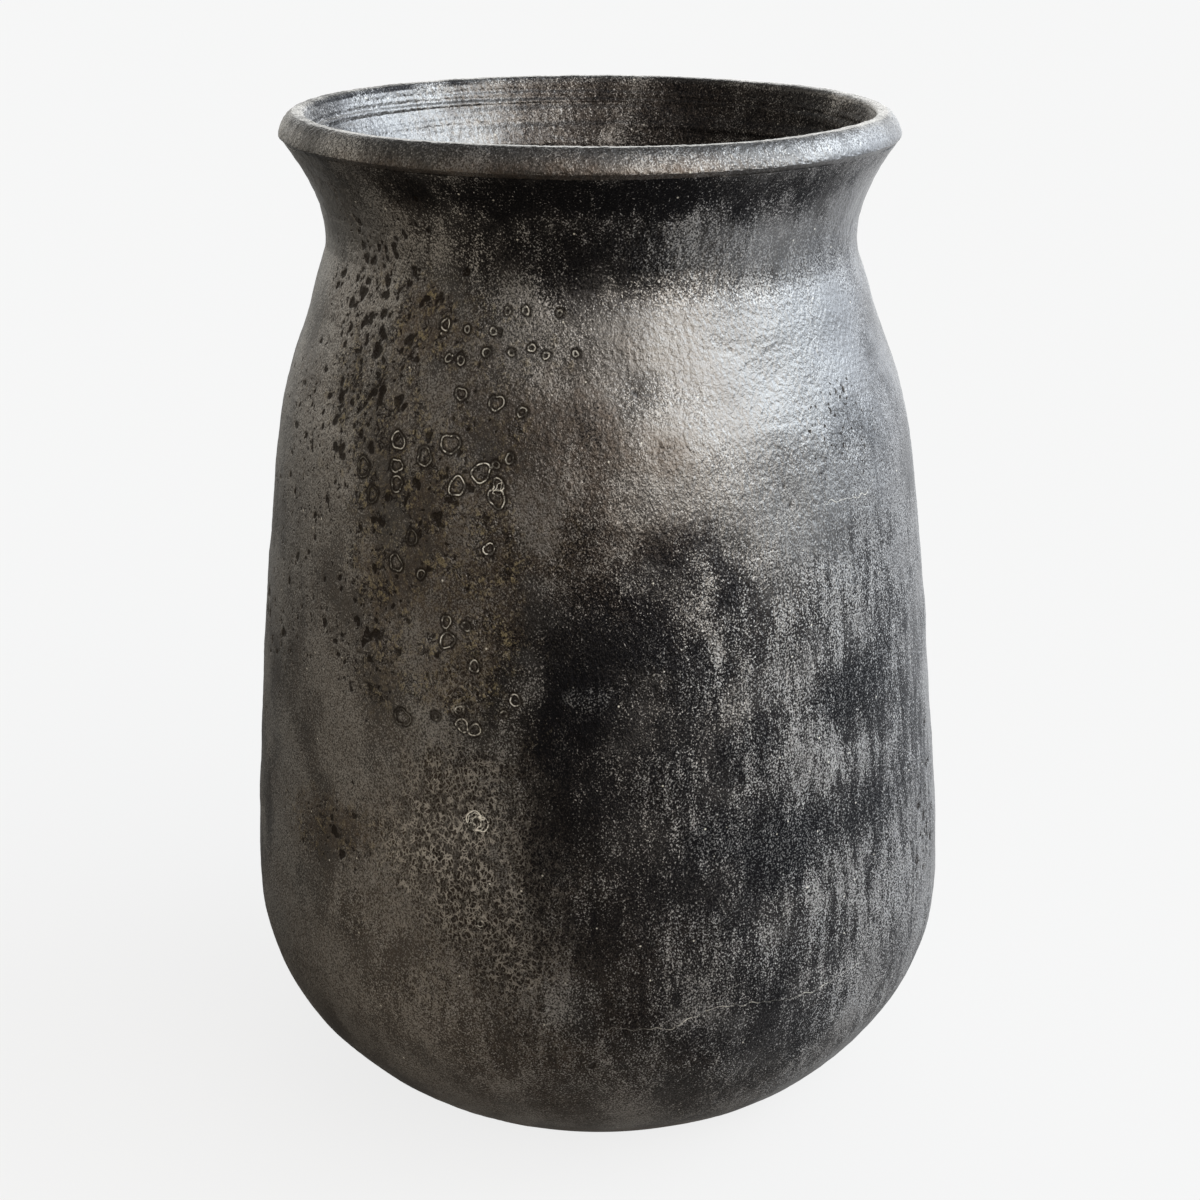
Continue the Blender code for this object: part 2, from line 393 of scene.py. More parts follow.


# Marks that the material paints, each between 0 and about 1. A row is a call of patch()
# Soot: smoke clouds of the firing, and painted shade. The rows at heights 0.478 and 0.452 paint the shade
# on the front of the neck, under the lip.
soot_and_shade = patches([
    (-2, 0.235, 11, 0.110, 0.85, 0.8), (-4, 0.250, 8, 0.036, 1.1, 0.9),
    (-4, 0.205, 5, 0.040, 0.9, 0.8), (-7, 0.160, 6, 0.035, 0.75, 0.8), (8, 0.478, 44, 0.012, 0.95, 0.7),
    (-4, 0.452, 22, 0.022, 0.75, 0.8), (48, 0.243, 9, 0.024, 0.85, 0.8), (52, 0.364, 8, 0.016, 0.35, 0.8),
    (5, 0.290, 16, 0.036, 0.9, 0.8), (-14, 0.262, 8, 0.030, 0.45, 0.8),
    (14, 0.235, 15, 0.050, 0.75, 0.8), (13, 0.301, 11, 0.028, 0.85, 0.9),
    (-14, 0.312, 14, 0.030, 0.3, 0.8), (68, 0.215, 7, 0.050, 0.4, 0.8),
    (-20, 0.215, 8, 0.030, 0.35, 0.8), (14, 0.165, 20, 0.040, 0.75, 0.8),
    (34, 0.176, 20, 0.022, 0.75, 0.8), (26, 0.182, 13, 0.026, 1.1, 0.8),
    (50, 0.152, 6, 0.014, 0.5, 0.8), (-1, 0.150, 8, 0.030, 0.8, 0.8),
    (29, 0.115, 8, 0.020, 0.5, 0.8), (18, 0.110, 18, 0.035, 0.65, 0.8),
    (27, 0.085, 13, 0.030, 0.55, 0.8),
    (-16, 0.150, 9, 0.050, 0.35, 0.8), (-3, 0.080, 14, 0.050, 0.3, 0.8), (20, 0.055, 18, 0.025, 0.4, 0.8),
    (27, 0.214, 8, 0.016, 0.5, 0.8), (60, 0.21, 8, 0.05, 0.35, 0.8),
    (185, 0.200, 22, 0.130, 0.9, 0.8), (230, 0.300, 14, 0.080, 0.7, 0.8), (120, 0.25, 12, 0.05, 0.7, 0.8),
])
brown = patches([
    (-34, 0.415, 10, 0.020, 0.9), (-24, 0.310, 14, 0.065, 0.8), (-47, 0.174, 10, 0.018, 0.8),
    (-30, 0.380, 18, 0.030, 0.6), (-6, 0.35, 16, 0.050, 0.7), (5, 0.007, 34, 0.006, 1.0),
    (-32, 0.12, 36, 0.12, 0.45), (-50, 0.30, 24, 0.16, 0.4), (165, 0.33, 34, 0.080, 0.8),
])
# Chalk: pale mineral dust, and painted light in two rows, at the foot's right (azimuth 38) and on the
# left of the neck (azimuth -62).
chalk_and_painted_light = patches([
    (45, 0.200, 32, 0.110, 0.5), (33.4, 0.203, 5, 0.010, 1.0), (27.6, 0.254, 4, 0.010, 0.9),
    (31, 0.130, 6, 0.012, 0.9), (56, 0.127, 5, 0.012, 0.8), (42, 0.080, 9, 0.012, 1.0),
    (60, 0.09, 24, 0.05, 0.5), (38, 0.032, 12, 0.014, 1.0), (-1, 0.257, 3, 0.004, 0.5),
    (38, 0.450, 22, 0.010, 0.8), (54, 0.448, 20, 0.015, 0.8, 0.8), (-62, 0.462, 14, 0.020, 0.5, 0.8),
    (110, 0.17, 40, 0.10, 0.6), (265, 0.12, 30, 0.07, 0.4),
])
craze = patches([
    (-21, 0.180, 11, 0.060, 1.0, 0.8), (-12, 0.150, 9, 0.045, 0.8, 0.8), (140, 0.15, 24, 0.06, 0.8),
])
# Burnish: smoother, evenly toned clay. Its patches are also painted highlights, set mostly where
# highlights fall: on the shoulder, on both sides of the neck and at the foot's right.
burnish_and_painted_highlight = patches([
    (36, 0.394, 38, 0.041, 1.0, 0.7), (16, 0.352, 18, 0.022, 0.7, 0.8), (45, 0.450, 36, 0.014, 0.8, 0.8),
    (-60, 0.36, 30, 0.10, 0.35, 0.8), (200, 0.40, 60, 0.05, 0.7, 0.8), (110, 0.39, 50, 0.05, 0.7, 0.8),
    (36, 0.345, 22, 0.030, 0.8, 0.8), (28, 0.419, 30, 0.014, 0.9, 0.6),
    (64, 0.462, 16, 0.022, 0.8, 0.8), (-62, 0.463, 18, 0.026, 0.9, 0.8),
    (48, 0.030, 12, 0.016, 0.9, 0.8),
])
streak = np.clip(patches([
    (46, 0.190, 44, 0.150, 1.0, 0.7), (38, 0.452, 38, 0.022, 1.0, 0.7), (0, 0.14, 34, 0.09, 0.7, 0.7),
    (110, 0.20, 50, 0.16, 0.8, 0.7), (200, 0.16, 60, 0.12, 0.6, 0.7), (-14, 0.2, 14, 0.1, 0.6, 0.7),
    (0, 0.466, 70, 0.026, 0.7, 0.7),
]) + 0.08, 0, 1)
pitted = patches([row + (0.8,) for row in PITTED + [SCUFF]])

# Hairline cracks: azimuth, height
HAIRLINE = [
    (0.8, 0.0954), (7.4, 0.0942), (11.2, 0.0928), (15, 0.0997), (18.2, 0.1018), (24.2, 0.0999),
    (31.2, 0.0970), (36, 0.0970), (40.5, 0.0997), (46, 0.1013),
]
UPPER_LINE = [(41.6, 0.3350), (51.9, 0.3320), (56, 0.3370)]
LINE_REACH = 0.02               # how far from a crack its distance is kept


def line_distance():
    """Signed height above the nearest hairline crack, as far as LINE_REACH."""
    distance = np.full(grid_height.shape, LINE_REACH)
    meander = grain(0.007, 0.020)
    signed = away(0)
    for points in (HAIRLINE, UPPER_LINE):
        places, heights = zip(*points)
        offset = grid_height - np.interp(signed, places, heights) - 0.0004 * meander
        inside = (signed > places[0]) & (signed < places[-1]) & (np.abs(offset) < LINE_REACH)
        distance = np.where(inside, offset, distance)
    return distance


nowhere = np.zeros(grid_height.shape)
OUTER_MARKS = {
    "soot_and_shade": soot_and_shade, "brown": brown, "chalk_and_painted_light": chalk_and_painted_light, "craze": craze, "burnish_and_painted_highlight": burnish_and_painted_highlight, "streak": streak,
    "leather": leather_mask, "pit": pit_shade, "pitted": pitted, "crust": crust, "ring": ring_distance,
    "ring_pale": ring_pale, "hairline": line_distance(),
}
CLEAN = {name: nowhere for name in OUTER_MARKS}
CLEAN["ring"] = nowhere + RING_REACH
CLEAN["hairline"] = nowhere + LINE_REACH
INNER_MARKS = CLEAN | {
    # Inside, the soot is painted shade: the back and right of the inside, the far left past the highlight
    # and the low front wall are darkened. The sheen patch at azimuth -143 is a painted highlight on the
    # back left of the inside of the mouth.
    "soot_and_shade": patches([
        (130, 0.46, 62, 0.20, 0.75, 0.8), (-40, 0.3, 60, 0.30, 0.6, 0.7), (-92, 0.46, 18, 0.2, 0.5, 0.8),
    ]),
    "brown": patches([(172, 0.46, 40, 0.16, 0.45, 0.7), (60, 0.3, 60, 0.30, 0.5, 0.7)]),
    "burnish_and_painted_highlight": patches([(-143, 0.46, 32, 0.08, 0.9, 0.7)]),
    "leather": nowhere + 1.0,
    "streak": nowhere + 0.3,
}
# On the rim the soot is painted shade: the crest, the inner edge on the left, the left side and the back
# are darkened. The sheen patch at azimuth 52 is a painted highlight on the roll's lower edge, over an
# even burnish of 0.45 all round.
crest_shade = 0.3 * smooth(0.4968, 0.4990, grid_height)
RIM_MARKS = CLEAN | {
    "soot_and_shade": np.maximum(crest_shade, patches([
        (-82, 0.494, 80, 0.05, 0.3, 0.7), (150, 0.494, 60, 0.05, 0.5, 0.7),
        (-112, 0.4985, 46, 0.003, 0.8, 0.7),
    ])),
    "brown": patches([(-10, 0.488, 34, 0.006, 0.8, 0.7)]),
    "burnish_and_painted_highlight": np.maximum(0.45, patches([(52, 0.489, 26, 0.005, 0.9, 0.8)])),
    "leather": nowhere + 0.8,
}


# ---------------------------------------------------------------- meshes

def sheet(points, normals, relief):
    """Turn a line of points about the leaning axis, pushed along its normals by the relief."""
    radius = points[:, :1] + normals[:, :1] * relief
    height = points[:, 1:] + normals[:, 1:] * relief
    x = LEAN * (height - BELLY_HEIGHT) + radius * np.sin(azimuths)
    return np.stack([x, -radius * np.cos(azimuths), height], -1)


def facing(grid):
    """Unit outward normals of a grid, whose rows run up the clay's outside or down its inside."""
    around = np.roll(grid, -1, 1) - np.roll(grid, 1, 1)
    along = np.gradient(grid, axis=0)
    normal = np.cross(around, along)
    return normal / np.linalg.norm(normal, axis=-1, keepdims=True)


def outer_face(z):
    """Points, normals and marks of the outer face at the given heights."""
    ends = np.concatenate([[z[0] - OUTER_ROW], z, [z[-1] + OUTER_ROW]])
    grid = sheet(*outer_line(ends), at_heights(outer_relief, ends))
    return grid[1:-1], facing(grid)[1:-1], marks_at(OUTER_MARKS, z)


def marks_at(fields, z):
    """Rows of every mark at the given heights."""
    return {name: at_heights(field, z) for name, field in fields.items()}


def inner_face(z):
    """Points, normals and marks of the inner face, running down from the first height."""
    step = (z[-1] - z[0]) / (len(z) - 1)
    ends = np.concatenate([[z[0] - step], z, [z[-1] + step]])
    grid = sheet(*inner_line(ends), at_heights(inner_relief, ends))
    return grid[1:-1], facing(grid)[1:-1], marks_at(INNER_MARKS, z)


def build(name, faces, closed=True):
    """Join faces into one closed ring, as an object, or into a disc that closes at the jar's axis.

    A face is the points, normals and marks of a grid, and faces follow each other round the section.
    """
    points = np.concatenate([face[0] for face in faces])
    normals = np.concatenate([face[1] for face in faces])
    rows = len(points)
    first, second = np.arange(rows), (np.arange(rows) + 1) % rows
    if not closed:
        first, second = first[:-1], second[:-1]
    column = np.arange(COLUMNS)
    beside = (column + 1) % COLUMNS
    a = first[:, None] * COLUMNS + column
    b = first[:, None] * COLUMNS + beside
    c = second[:, None] * COLUMNS + beside
    d = second[:, None] * COLUMNS + column
    quads = np.stack([a, b, c, d], -1).reshape(-1, 4)
    vertices = points.reshape(-1, 3)
    mesh = bpy.data.meshes.new(name)
    corners, starts = [quads.reshape(-1)], [np.arange(len(quads)) * 4]
    directions = normals.reshape(-1, 3)
    if not closed:
        poles = np.array([points[0].mean(0), points[-1].mean(0)])
        low, high = len(vertices), len(vertices) + 1
        last = (rows - 1) * COLUMNS
        fans = np.concatenate([
            np.stack([np.full(COLUMNS, low), beside, column], -1),
            np.stack([np.full(COLUMNS, high), last + column, last + beside], -1),
        ])
        vertices = np.concatenate([vertices, poles])
        directions = np.concatenate([directions, [(0, 0, -1), (0, 0, 1)]])
        starts.append(len(quads) * 4 + np.arange(len(fans)) * 3)
        corners.append(fans.reshape(-1))
    corners, starts = np.concatenate(corners), np.concatenate(starts)
    mesh.vertices.add(len(vertices))
    mesh.vertices.foreach_set("co", vertices.astype(np.float32).ravel())
    mesh.loops.add(len(corners))
    mesh.loops.foreach_set("vertex_index", corners.astype(np.int32))
    mesh.polygons.add(len(starts))
    mesh.polygons.foreach_set("loop_start", starts.astype(np.int32))
    mesh.update(calc_edges=True)
    mesh.polygons.foreach_set("use_smooth", np.ones(len(starts), bool))
    mesh.normals_split_custom_set_from_vertices(directions.astype(np.float32))
    for mark in OUTER_MARKS:
        values = np.concatenate([face[2][mark].reshape(-1) for face in faces])
        values = np.concatenate([values, np.full(len(vertices) - len(values), values[0])])
        mesh.attributes.new(mark, "FLOAT", "POINT").data.foreach_set("value", values.astype(np.float32))
    mesh.validate()
    piece = bpy.data.objects.new(name, mesh)
    bpy.context.collection.objects.link(piece)
    return piece


def spaced(start, end, step):
    """Evenly spaced heights, about a step apart."""
    return np.linspace(start, end, max(2, round(abs(end - start) / step) + 1))


def joint_above(node):
    """Heights of a course's upper joint on its outer and inner faces, from its CAD box."""
    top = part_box(node)[1].z
    return top - SCARF_RISE, top


def course(name, lower, upper, inner_row, crowding=1.0):
    """A wall course between two joints. Crowding packs its outer rows where the wall slopes."""
    outside = outer_face(spaced(lower[0], upper[0], OUTER_ROW / crowding))
    inside = inner_face(spaced(upper[1], lower[1], inner_row))
    return build(name, [outside, inside])


def turned_normals(line):
    """Unit normals to the right of a line of (radius, height) points."""
    along = np.gradient(line, axis=0)
    normal = np.stack([along[:, 1], -along[:, 0]], -1)
    return normal / np.linalg.norm(normal, axis=1, keepdims=True)


def arc(centre, radius, start, end, count):
    """Points of an arc, between two angles in degrees above the outward direction."""
    angle = np.radians(np.linspace(start, end, count))
    return np.array(centre) + radius * np.stack([np.cos(angle), np.sin(angle)], -1)


def rim(name, underside):
    """The rolled rim, over the roll from its fold on the neck to the throat."""
    seat = float(outer_radius(np.float64(underside))) - RIM_TUCK
    edge = underside + RIM_EDGE_RISE
    tuck = arc((RIM_RADIUS - RIM_EDGE_ROUND, edge), RIM_EDGE_ROUND, -40, -8, 5)
    turn = np.radians(np.linspace(0, 90, 20))
    roll = np.stack([
        RIM_CREST_RADIUS + (RIM_RADIUS - RIM_CREST_RADIUS) * np.cos(turn) ** RIM_BULGE,
        edge + (HEIGHT - edge) * np.sin(turn) ** RIM_BULGE,
    ], -1)
    lip = arc((RIM_INNER_RADIUS + LIP_ROUND, HEIGHT - LIP_ROUND), LIP_ROUND, 90, 180, 8)
    throat, _ = inner_line(np.array([RIM_THROAT]))
    down = lip[-1] + (throat[0] - lip[-1]) * np.linspace(0, 1, 15)[1:, None]
    line = np.concatenate([[(seat, underside)], tuck, roll, lip, down])
    relief = np.tile(rim_relief[0], (len(line), 1)) * smooth(underside, underside + 0.006, line[:, 1:])
    relief += 0.00006 * grain(0.005, 0.005)[: len(line)]
    heights = down[:, 1] - down[-1, 1] + RIM_THROAT
    relief[-len(down):] += at_heights(inner_relief, heights) * np.linspace(0, 1, len(down))[:, None]
    grid = sheet(line, turned_normals(line), relief)
    outside, inside = marks_at(RIM_MARKS, line[:, 1]), marks_at(INNER_MARKS, line[:, 1])
    marks = {key: np.concatenate([outside[key][: -len(down)], inside[key][-len(down):]]) for key in CLEAN}
    return build(name, [(grid, facing(grid), marks)])


def slab(name):
    """The base slab: the flat foot, its scarfed edge and the floor inside."""
    floor, _ = inner_line(np.array([FOOT_SEAM[1]]))
    floor_radius, floor_height = floor[0]
    edge, _ = outer_line(spaced(0.0, FOOT_SEAM[0], SLAB_ROW))
    across = np.linspace(0.02, 1, 18)[:, None]      # rows of the flat faces, as parts of their radius
    bottom = np.concatenate([edge[0, 0] * across, np.zeros_like(across)], 1)[:-1]
    top = np.concatenate([floor_radius * across[::-1], np.full_like(across, floor_height)], 1)
    parts = []
    for line, relief, fields in (
        (bottom, 0.0, RIM_MARKS),
        (edge, at_heights(outer_relief, edge[:, 1]), OUTER_MARKS),
        (top, 0.0, INNER_MARKS),
    ):
        grid = sheet(line, turned_normals(line), relief * np.ones((len(line), COLUMNS)))
        parts.append((grid, facing(grid), marks_at(fields, line[:, 1])))
    return build(name, parts, closed=False)


# ---------------------------------------------------------------- material

class Tree:
    """Short calls for building a node tree."""

    def __init__(self, tree):
        self.tree = tree

    def add(self, kind, sockets, output=0, **settings):
        """A new node's output, or the node itself where output is None."""
        node = self.tree.nodes.new(kind)
        for key, value in settings.items():
            setattr(node, key, value)
        for key, value in sockets.items():
            if isinstance(value, bpy.types.NodeSocket):
                self.tree.links.new(value, node.inputs[key])
            else:
                node.inputs[key].default_value = value
        return node if output is None else node.outputs[output]

    def mark(self, name):
        """A mark that the meshes carry."""
        return self.add("ShaderNodeAttribute", {}, 2, attribute_name=name)

    def math(self, operation, a, b=0.0, c=0.0, clamp=False):
        return self.add("ShaderNodeMath", {0: a, 1: b, 2: c}, operation=operation, use_clamp=clamp)

    def band(self, value, low, high, to_low=0.0, to_high=1.0):
        """A smooth step from to_low, where the value is low, to to_high."""
        sockets = {0: value, 1: low, 2: high, 3: to_low, 4: to_high}
        return self.add("ShaderNodeMapRange", sockets, interpolation_type="SMOOTHSTEP")

    def noise(self, scale, stretch=(1, 1, 1), detail=2.0, rough=0.5):
        """Noise around 0.5, longer along the axes whose stretch is small."""
        place = self.add("ShaderNodeVectorMath", {0: self.place, 1: stretch}, operation="MULTIPLY")
        tilt = {"Vector": place, "Rotation": (0.5, 0.6, 0.4)}   # or upright edges would show
        place = self.add("ShaderNodeVectorRotate", tilt, rotation_type="EULER_XYZ")
        sockets = {"Vector": place, "Scale": scale, "Detail": detail, "Roughness": rough}
        return self.add("ShaderNodeTexNoise", sockets)

    def mix(self, factor, a, b):
        return self.add("ShaderNodeMix", {0: factor, 6: a, 7: b}, 2, data_type="RGBA")

    def mix_value(self, factor, a, b):
        return self.add("ShaderNodeMix", {0: factor, 2: a, 3: b}, 0, data_type="FLOAT")


GRAPHITE = (0.420, 0.408, 0.400, 1)
SPARK = (0.850, 0.840, 0.830, 1)
BURNISH_AND_PAINTED_HIGHLIGHT = (0.430, 0.425, 0.425, 1)
DARK_GRAPHITE = (0.026, 0.024, 0.025, 1)
BROWN_ASH = (0.120, 0.092, 0.072, 1)
OLIVE_ASH = (0.310, 0.258, 0.140, 1)
SOOT_AND_SHADE = (0.012, 0.012, 0.014, 1)
PIT_SHADE = (0.016, 0.011, 0.008, 1)
CHALK_AND_PAINTED_LIGHT = (0.330, 0.335, 0.345, 1)
CRAZE = (0.560, 0.525, 0.470, 1)
RING = (0.930, 0.900, 0.820, 1)


def black_clay():
    """The one clay of all the pieces: worn graphite grains on black, with the painted marks on top."""
    material = bpy.data.materials.new("black_clay")
    material.use_nodes = True
    tree = material.node_tree
    shader = tree.nodes["Principled BSDF"]
    t = Tree(tree)
    t.place = t.add("ShaderNodeTexCoord", {}, 3)
    burnish_and_painted_highlight, brown, leather = t.mark("burnish_and_painted_highlight"), t.mark("brown"), t.mark("leather")
    soot_and_shade_mark, crusty = t.mark("soot_and_shade"), t.mark("crust")

    streaks = t.math("MULTIPLY_ADD", t.noise(230, (1, 1, 0.20), 3.0, 0.65), 0.62,
                     t.math("MULTIPLY", t.noise(70, (1, 1, 0.28), 2.0, 0.6), 0.38))
    clouds = t.noise(26, (1, 1, 0.7), 3.0, 0.55)
    speck = t.noise(1250, (1, 1, 0.85), 1.5, 0.75)
    skin = t.noise(540, (1, 1, 0.80), 2.0, 0.55)
    flecks = t.noise(300, (1, 1, 0.85), 3.0, 0.65)

    # The worn skin is light grains on dark ones: soot, painted shade and streaks change how many are
    # light
    level = t.math("SUBTRACT", t.mix_value(t.mark("streak"), clouds, streaks), 0.5)
    limit = t.math("MULTIPLY_ADD", level, -0.95, t.math("MULTIPLY_ADD", soot_and_shade_mark, 0.22, 0.50))
    limit = t.math("MAXIMUM", limit, 0.465)
    light = t.band(t.math("SUBTRACT", speck, limit), -0.08, 0.11)
    bare = t.math("SUBTRACT", 1.0, soot_and_shade_mark, clamp=True)
    even = t.math("MAXIMUM", burnish_and_painted_highlight, t.math("MULTIPLY_ADD", t.mark("streak"), -0.36, 0.36))
    light = t.mix_value(t.math("MULTIPLY", t.math("MULTIPLY", even, bare), 0.95), light, 0.50)
    light = t.math("MULTIPLY", light, t.math("MULTIPLY_ADD", t.mark("craze"), -0.75, 1.0))
    soot_and_shade = t.math("MULTIPLY_ADD", level, -1.2, t.math("MULTIPLY_ADD", speck, -2.6, soot_and_shade_mark))
    soot_and_shade = t.band(soot_and_shade, -0.95, -0.15)

    # Chalky dust on the grains, and painted light at the foot's right and the left of the neck
    dust_and_painted_light = t.math("MULTIPLY_ADD", speck, 0.7, t.math("MULTIPLY", streaks, 0.3))
    dust_and_painted_light = t.math("MULTIPLY", t.mark("chalk_and_painted_light"), t.band(dust_and_painted_light, 0.51, 0.60))

    # Blister outlines, with painted shade on both sides of them
    ring = t.math("MULTIPLY_ADD", flecks, 0.0006, t.math("ABSOLUTE", t.mark("ring")))
    outline = t.math("MULTIPLY", t.band(ring, 0.00040, 0.00078, 1.0, 0.0), t.mark("ring_pale"))
    outline = t.math("MULTIPLY", outline, t.band(flecks, 0.44, 0.58, 0.08, 1.0))
    hollow = t.band(ring, 0.0010, 0.0024, 1.0, 0.0)

    # Kiln pits: the large ones by their mark, the small ones as cells that the crowding fills.
    # These, the crust's furrows and the hollows round the blisters are painted shade, and sunk in the
    # bump
    warp = t.add("ShaderNodeTexNoise", {"Vector": t.place, "Scale": 260.0, "Detail": 2.0}, 1)
    warp = t.add("ShaderNodeVectorMath", {0: warp, 1: (0.5, 0.5, 0.5)}, operation="SUBTRACT")
    warp = t.add("ShaderNodeVectorMath", {0: warp, 1: (0.005, 0.005, 0.006), 2: t.place},
                 operation="MULTIPLY_ADD")
    pores = t.add("ShaderNodeTexVoronoi", {"Vector": warp, "Scale": 360.0}, None)
    chosen = t.add("ShaderNodeSeparateColor", {0: pores.outputs["Color"]})
    chosen = t.math("GREATER_THAN", t.math("MULTIPLY_ADD", t.mark("pitted"), 0.75, chosen), 1.0)
    pore = t.math("MULTIPLY", t.band(pores.outputs["Distance"], 0.16, 0.38, 1.0, 0.0), chosen)
    pit = t.band(t.math("MULTIPLY_ADD", speck, 0.8, t.mark("pit")), 0.65, 0.95)
    worm = t.math("ABSOLUTE", t.math("SUBTRACT", t.noise(230, (1, 1, 0.9), 2.0, 0.6), 0.5))
    furrow = t.math("MULTIPLY", t.band(worm, 0.012, 0.060, 1.0, 0.0), t.band(crusty, 0.15, 0.75))
    furrow = t.math("MULTIPLY", furrow, t.band(flecks, 0.60, 0.42, 0.35, 1.0))
    pit = t.math("MAXIMUM", t.math("MAXIMUM", pit, pore), t.math("MAXIMUM", furrow, hollow))
    ash = t.math("MULTIPLY_ADD", flecks, 0.5, t.math("MULTIPLY", speck, 0.5))
    ash = t.math("MULTIPLY", t.band(worm, 0.035, 0.09), t.band(ash, 0.48, 0.57))
    ash = t.math("MULTIPLY", ash, crusty)

    # Craquelure as a net of upright cells, hairline cracks painted as broken pale highlight lines,
    # and bright grit in the chalk
    cells = t.add("ShaderNodeVectorMath", {0: warp, 1: (1, 1, 0.60)}, operation="MULTIPLY")
    net = t.add("ShaderNodeTexVoronoi", {"Vector": cells, "Scale": 500.0}, feature="DISTANCE_TO_EDGE")
    net = t.math("MULTIPLY", t.band(net, 0.03, 0.15, 1.0, 0.0), t.mark("craze"))
    net = t.math("MULTIPLY", net, t.band(flecks, 0.40, 0.58, 0.15, 0.95))
    net = t.math("MULTIPLY", net, bare)
    crack_highlight = t.band(t.math("ABSOLUTE", t.mark("hairline")), 0.00010, 0.00034, 0.6, 0.0)
    crack_highlight = t.math("MULTIPLY", crack_highlight, t.band(clouds, 0.44, 0.55, 0.35, 1.0))
    crack_highlight = t.math("MULTIPLY", crack_highlight, t.band(flecks, 0.38, 0.55, 0.2, 1.0))
    grit = t.add("ShaderNodeTexVoronoi", {"Vector": t.place, "Scale": 200.0}, None)
    rare = t.add("ShaderNodeSeparateColor", {0: grit.outputs["Color"]})
    rare = t.math("GREATER_THAN", t.math("MULTIPLY_ADD", t.mark("chalk_and_painted_light"), 0.20, rare), 0.93)
    grit = t.math("MULTIPLY", t.band(grit.outputs["Distance"], 0.06, 0.13, 0.8, 0.0), rare)

    # Colour, from the worn skin up to the pale lines
    spark = t.math("MULTIPLY", t.band(speck, 0.60, 0.72), t.mark("streak"))
    # Painted highlight and burnish: where the sheen mark is strong the grains take one even, burnished
    # tone
    shine = t.mix(burnish_and_painted_highlight, t.mix(spark, GRAPHITE, SPARK), BURNISH_AND_PAINTED_HIGHLIGHT)
    colour = t.mix(light, DARK_GRAPHITE, shine)
    colour = t.mix(t.math("MULTIPLY", brown, t.band(flecks, 0.35, 0.65, 0.35, 0.80)), colour, BROWN_ASH)
    colour = t.mix(t.math("MULTIPLY", ash, 0.75), colour, OLIVE_ASH)
    # Soot, and the painted shade under the lip, on the rim and inside the jar
    colour = t.mix(soot_and_shade, colour, SOOT_AND_SHADE)
    # Painted shade in the pits, pores, furrows and round the blisters
    colour = t.mix(t.math("MULTIPLY", pit, 0.85), colour, PIT_SHADE)
    colour = t.mix(dust_and_painted_light, colour, CHALK_AND_PAINTED_LIGHT)
    colour = t.mix(net, colour, CRAZE)
    # Pale lines: blister outlines, grit, and the painted highlight along the hairline cracks
    line = t.math("MAXIMUM", t.math("MAXIMUM", outline, crack_highlight), grit)
    colour = t.mix(line, colour, RING)

    # Graphite shines like a metal, and dust, ash and cracks don't
    pale = t.math("MAXIMUM", t.math("MAXIMUM", dust_and_painted_light, net), t.math("MULTIPLY_ADD", ash, 0.5, line))
    metal = t.math("MULTIPLY", t.math("SUBTRACT", 1.0, pale), 0.85)
    metal = t.mix_value(soot_and_shade, metal, 1.0)

    rough = t.mix_value(burnish_and_painted_highlight, 0.40, 0.31)
    rough = t.math("MULTIPLY_ADD", t.math("SUBTRACT", clouds, 0.5), 0.20, rough)
    rough = t.mix_value(soot_and_shade, rough, 0.60)
    rough = t.mix_value(pit, rough, 0.65)
    rough = t.mix_value(pale, rough, 0.70)
    rough = t.math("MULTIPLY_ADD", t.math("SUBTRACT", speck, 0.5), 0.15, rough, clamp=True)

    tree.links.new(colour, shader.inputs["Base Color"])
    tree.links.new(metal, shader.inputs["Metallic"])
    tree.links.new(rough, shader.inputs["Roughness"])

    # Skin too fine for the mesh
    fine = t.math("MULTIPLY", speck, t.mix_value(burnish_and_painted_highlight, 0.50, 0.25))
    height = t.math("MULTIPLY_ADD", skin, leather, fine)
    height = t.math("MULTIPLY_ADD", pit, -0.6, height)
    height = t.math("MULTIPLY_ADD", t.math("MULTIPLY", crusty, flecks), 1.3, height)
    bump = t.add("ShaderNodeBump", {"Strength": 1.0, "Distance": 0.00055, "Height": height})
    tree.links.new(bump, shader.inputs["Normal"])
    return material


# ---------------------------------------------------------------- stage, lights and camera

def floor():
    """A pale floor for the eye, which neither lights the jar nor shows in its gloss."""
    bpy.ops.mesh.primitive_circle_add(vertices=128, radius=40, fill_type="NGON", location=(0, 0, 0))
    ground = bpy.context.object
    ground.name = "floor"
    material = bpy.data.materials.new("pale_floor")
    material.use_nodes = True
    tree = material.node_tree
    shader = tree.nodes["Principled BSDF"]
    shader.inputs["Base Color"].default_value = (0.10, 0.10, 0.10, 1)
    shader.inputs["Roughness"].default_value = 1.0
    shader.inputs["Specular IOR Level"].default_value = 0.0
    shader.inputs["Emission Color"].default_value = (0.9, 0.9, 0.9, 1)
    shader.inputs["Emission Strength"].default_value = 0.90
    ground.data.materials.append(material)
    ground.visible_diffuse = False
    ground.visible_glossy = False
    ground.visible_shadow = False


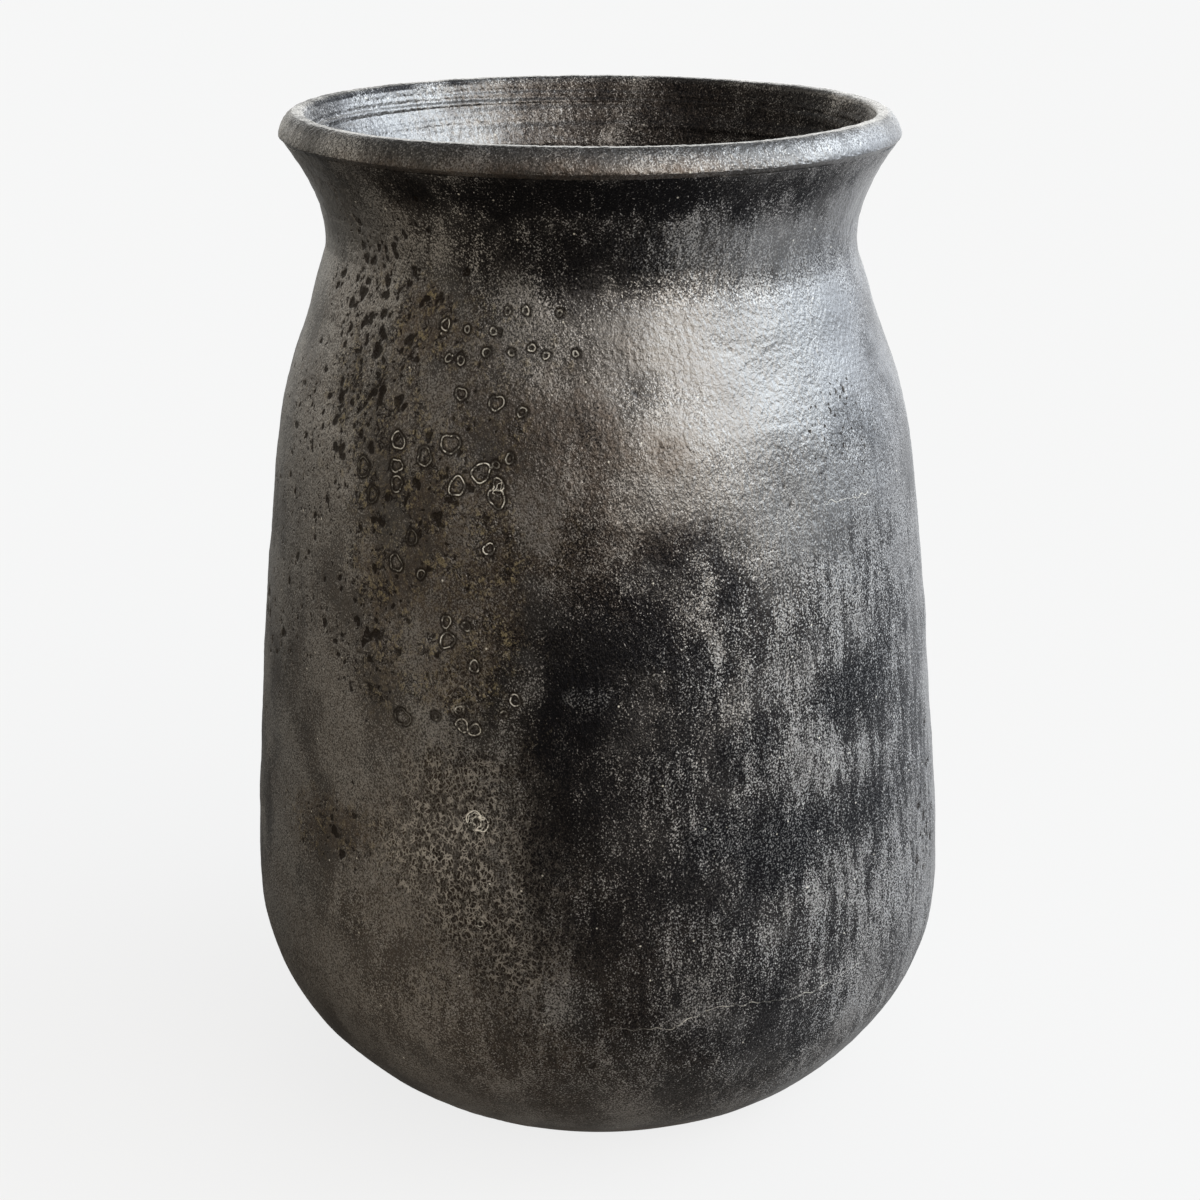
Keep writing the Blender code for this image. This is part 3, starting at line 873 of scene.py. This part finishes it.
# Soft lights around the jar: azimuth, elevation, sharpness, colour. The skylight reaches the inside
LIGHTS = {
    "window": (92, 33, 14, (5.0, 5.5, 5.8)),
    "window_front_edge": (48, 28, 14, (3.8, 3.75, 3.6)),
    "lamp": (31, 12, 40, (2.1, 1.75, 1.3)),
    "window_far_edge": (122, 20, 12, (1.7, 1.9, 2.2)),
    "ceiling_in_front": (0, 36, 14, (1.3, 1.17, 1.02)),
    "skylight": (0, 88, 30, (0.9, 0.88, 0.84)),
    "wall_behind": (178, 18, 10, (3.0, 3.0, 2.9)),
    "wall_behind_left": (-126, 14, 20, (1.25, 1.18, 1.04)),
    "wall_left": (-88, 14, 14, (0.82, 0.76, 0.64)),
    "floor_left": (-64, -30, 8, (0.46, 0.40, 0.31)),
    "floor_right": (84, -38, 16, (1.2, 1.25, 1.3)),
    "floor_behind": (150, -14, 10, (0.85, 0.87, 0.90)),
    "floor_below": (0, -82, 5, (0.26, 0.23, 0.19)),
}
AMBIENT = (0.015, 0.014, 0.013)
BACKDROP = (0.900, 0.900, 0.900, 1)

CAMERA_PLACE = (0.0012, -1.1223, 0.6335)
CAMERA_DIP = 19.06              # degrees that it looks down
LENS = 68                       # mm, on a 36 mm sensor


def world():
    """A pale backdrop for the eye, and soft light from all around for everything else."""
    sky = bpy.data.worlds.new("studio")
    bpy.context.scene.world = sky
    sky.use_nodes = True
    tree = sky.node_tree
    t = Tree(tree)
    background = tree.nodes["Background"]
    place = t.add("ShaderNodeTexCoord", {}, 0)
    total = t.add("ShaderNodeCombineXYZ", dict(enumerate(AMBIENT)))
    for azimuth, elevation, sharpness, colour in LIGHTS.values():
        turn, lift = math.radians(azimuth), math.radians(elevation)
        towards = (math.sin(turn) * math.cos(lift), -math.cos(turn) * math.cos(lift), math.sin(lift))
        nearness = t.add("ShaderNodeVectorMath", {0: place, 1: towards}, 1, operation="DOT_PRODUCT")
        power = t.math("EXPONENT", t.math("MULTIPLY", t.math("SUBTRACT", nearness, 1.0), sharpness))
        glow = t.add("ShaderNodeVectorMath", {0: colour, 3: power}, operation="SCALE")
        total = t.add("ShaderNodeVectorMath", {0: total, 1: glow}, operation="ADD")
    seen = t.add("ShaderNodeLightPath", {}, 0)
    shown = t.mix(seen, total, BACKDROP)
    tree.links.new(shown, background.inputs["Color"])


def camera():
    lens = bpy.data.cameras.new("camera")
    lens.lens = LENS
    lens.sensor_width = 36
    seat = bpy.data.objects.new("camera", lens)
    bpy.context.collection.objects.link(seat)
    seat.location = CAMERA_PLACE
    seat.rotation_euler = (math.radians(90 - CAMERA_DIP), 0, 0)
    bpy.context.scene.camera = seat


def main():
    clay = black_clay()
    belly, lower = joint_above("heel_bowl"), joint_above("lower_wall_course")
    middle, upper = joint_above("middle_wall_course"), joint_above("upper_wall_course")
    neck = joint_above("shoulder_course")
    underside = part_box("rim_roll")[0].z
    # Rows are close on the outside and at the mouth, and wide inside, where little light comes
    pieces = {
        "base_slab": slab("foot_slab"),
        "heel_bowl": course("heel", FOOT_SEAM, belly, 0.009, 1.08),
        "lower_wall_course": course("lower_wall", belly, lower, 0.006),
        "middle_wall_course": course("middle_wall", lower, middle, 0.006),
        "upper_wall_course": course("upper_wall", middle, upper, 0.004),
        "shoulder_course": course("shoulder", upper, neck, 0.0065),
        "neck_collar": course("neck", neck, (underside, RIM_THROAT), 0.00125, 1.1),
        "rim_roll": rim("rim", underside),
    }
    for node, piece in pieces.items():
        piece.data.materials.append(clay)
        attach(piece, "root")
        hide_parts(node)
    floor()
    world()
    camera()
    bpy.context.scene.view_settings.view_transform = "Standard"


main()
